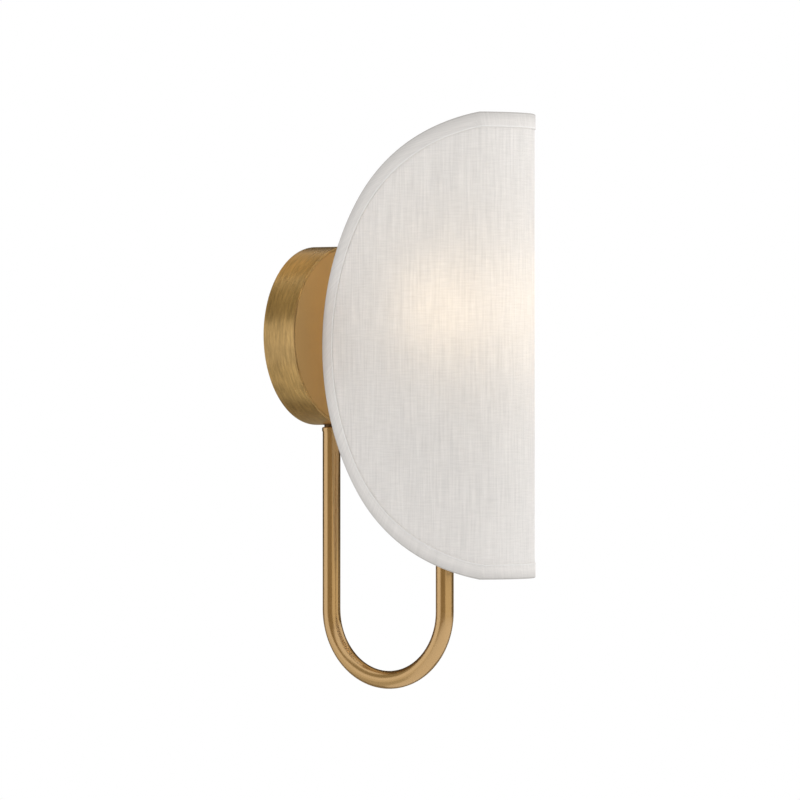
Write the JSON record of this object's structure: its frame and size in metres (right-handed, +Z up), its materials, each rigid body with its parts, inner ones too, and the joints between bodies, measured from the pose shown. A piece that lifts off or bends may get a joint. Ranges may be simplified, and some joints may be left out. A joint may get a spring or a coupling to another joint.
{
  "type": "wall light",
  "caption": "Wall light with a round brass backplate, a J-shaped tube hanging from it and a bent linen shade cut to a half-moon side, open above, below and towards the wall.",
  "frame": {"origin": "centre of the backplate on the wall plane", "axes": "+Z up, -Y out from the wall, +X to the right seen from the front"},
  "size_m": [0.12, 0.1697, 0.3825],
  "materials": {
    "brushed_brass": "brushed satin",
    "satin_brass": "satin",
    "zinc_steel": "zinc plated",
    "white_nylon": "moulded",
    "white_plastic": "moulded",
    "porcelain": "glazed",
    "nickel": "nickel plated",
    "linen": "open linen weave",
    "shade_lining": "translucent laminate",
    "linen_tape": "folded linen tape",
    "white_wire": "powder coated",
    "frosted_glass": "clear",
    "black_glass": "vitrite",
    "solder": "dull",
    "filament": "phosphor",
    "brown_core": "smooth",
    "blue_core": "smooth",
    "earth_core": "smooth"
  },
  "bodies": {
    "wall_arm": {"canopy_rim": "brushed_brass", "canopy_face": "satin_brass", "wall_bracket": "zinc_steel", "canopy_screw": "satin_brass", "earth_screw": "zinc_steel", "connector_block": "white_nylon", "connector_screws": "zinc_steel", "inlet_nipple": "zinc_steel", "tube_collar": "brushed_brass", "saddle_washer": "zinc_steel", "lock_nut": "zinc_steel", "swan_tube": "brushed_brass", "socket_nipple": "zinc_steel", "socket_cap": "white_plastic", "socket_skirt": "white_plastic", "terminal_block": "porcelain", "screw_shell": "nickel", "centre_contact": "nickel", "terminal_screws": "zinc_steel", "live_wire": "brown_core", "neutral_wire": "blue_core", "earth_wire": "earth_core"},
    "shade": {"fitter_ring": "white_wire", "shade_fabric": "linen", "shade_liner": "shade_lining", "shade_hem": "linen_tape", "shade_frame": "white_wire"},
    "ring": {"shade_ring": "white_plastic"},
    "bulb": {"bulb_tip": "solder", "bulb_insulator": "black_glass", "bulb_cap": "nickel", "bulb_glass": "frosted_glass", "filament_stem": "nickel", "led_filaments": "filament"}
  },
  "joints": [
    {"name": "shade_swivel", "type": "hinge", "parent": "wall_arm", "child": "shade", "pos_m": [0, -0.1055, -0.04], "axis": [0, 0, 1], "range_deg": [-12, 12]},
    {"name": "ring_turn", "type": "hinge", "parent": "wall_arm", "child": "ring", "pos_m": [0, -0.1055, -0.0385], "axis": [0, 0, 1], "range_deg": [0, 1080]},
    {"name": "bulb_lift", "type": "slide", "parent": "wall_arm", "child": "bulb", "axis": [0, 0, 1], "range_m": [0, 0.15]}
  ]
}
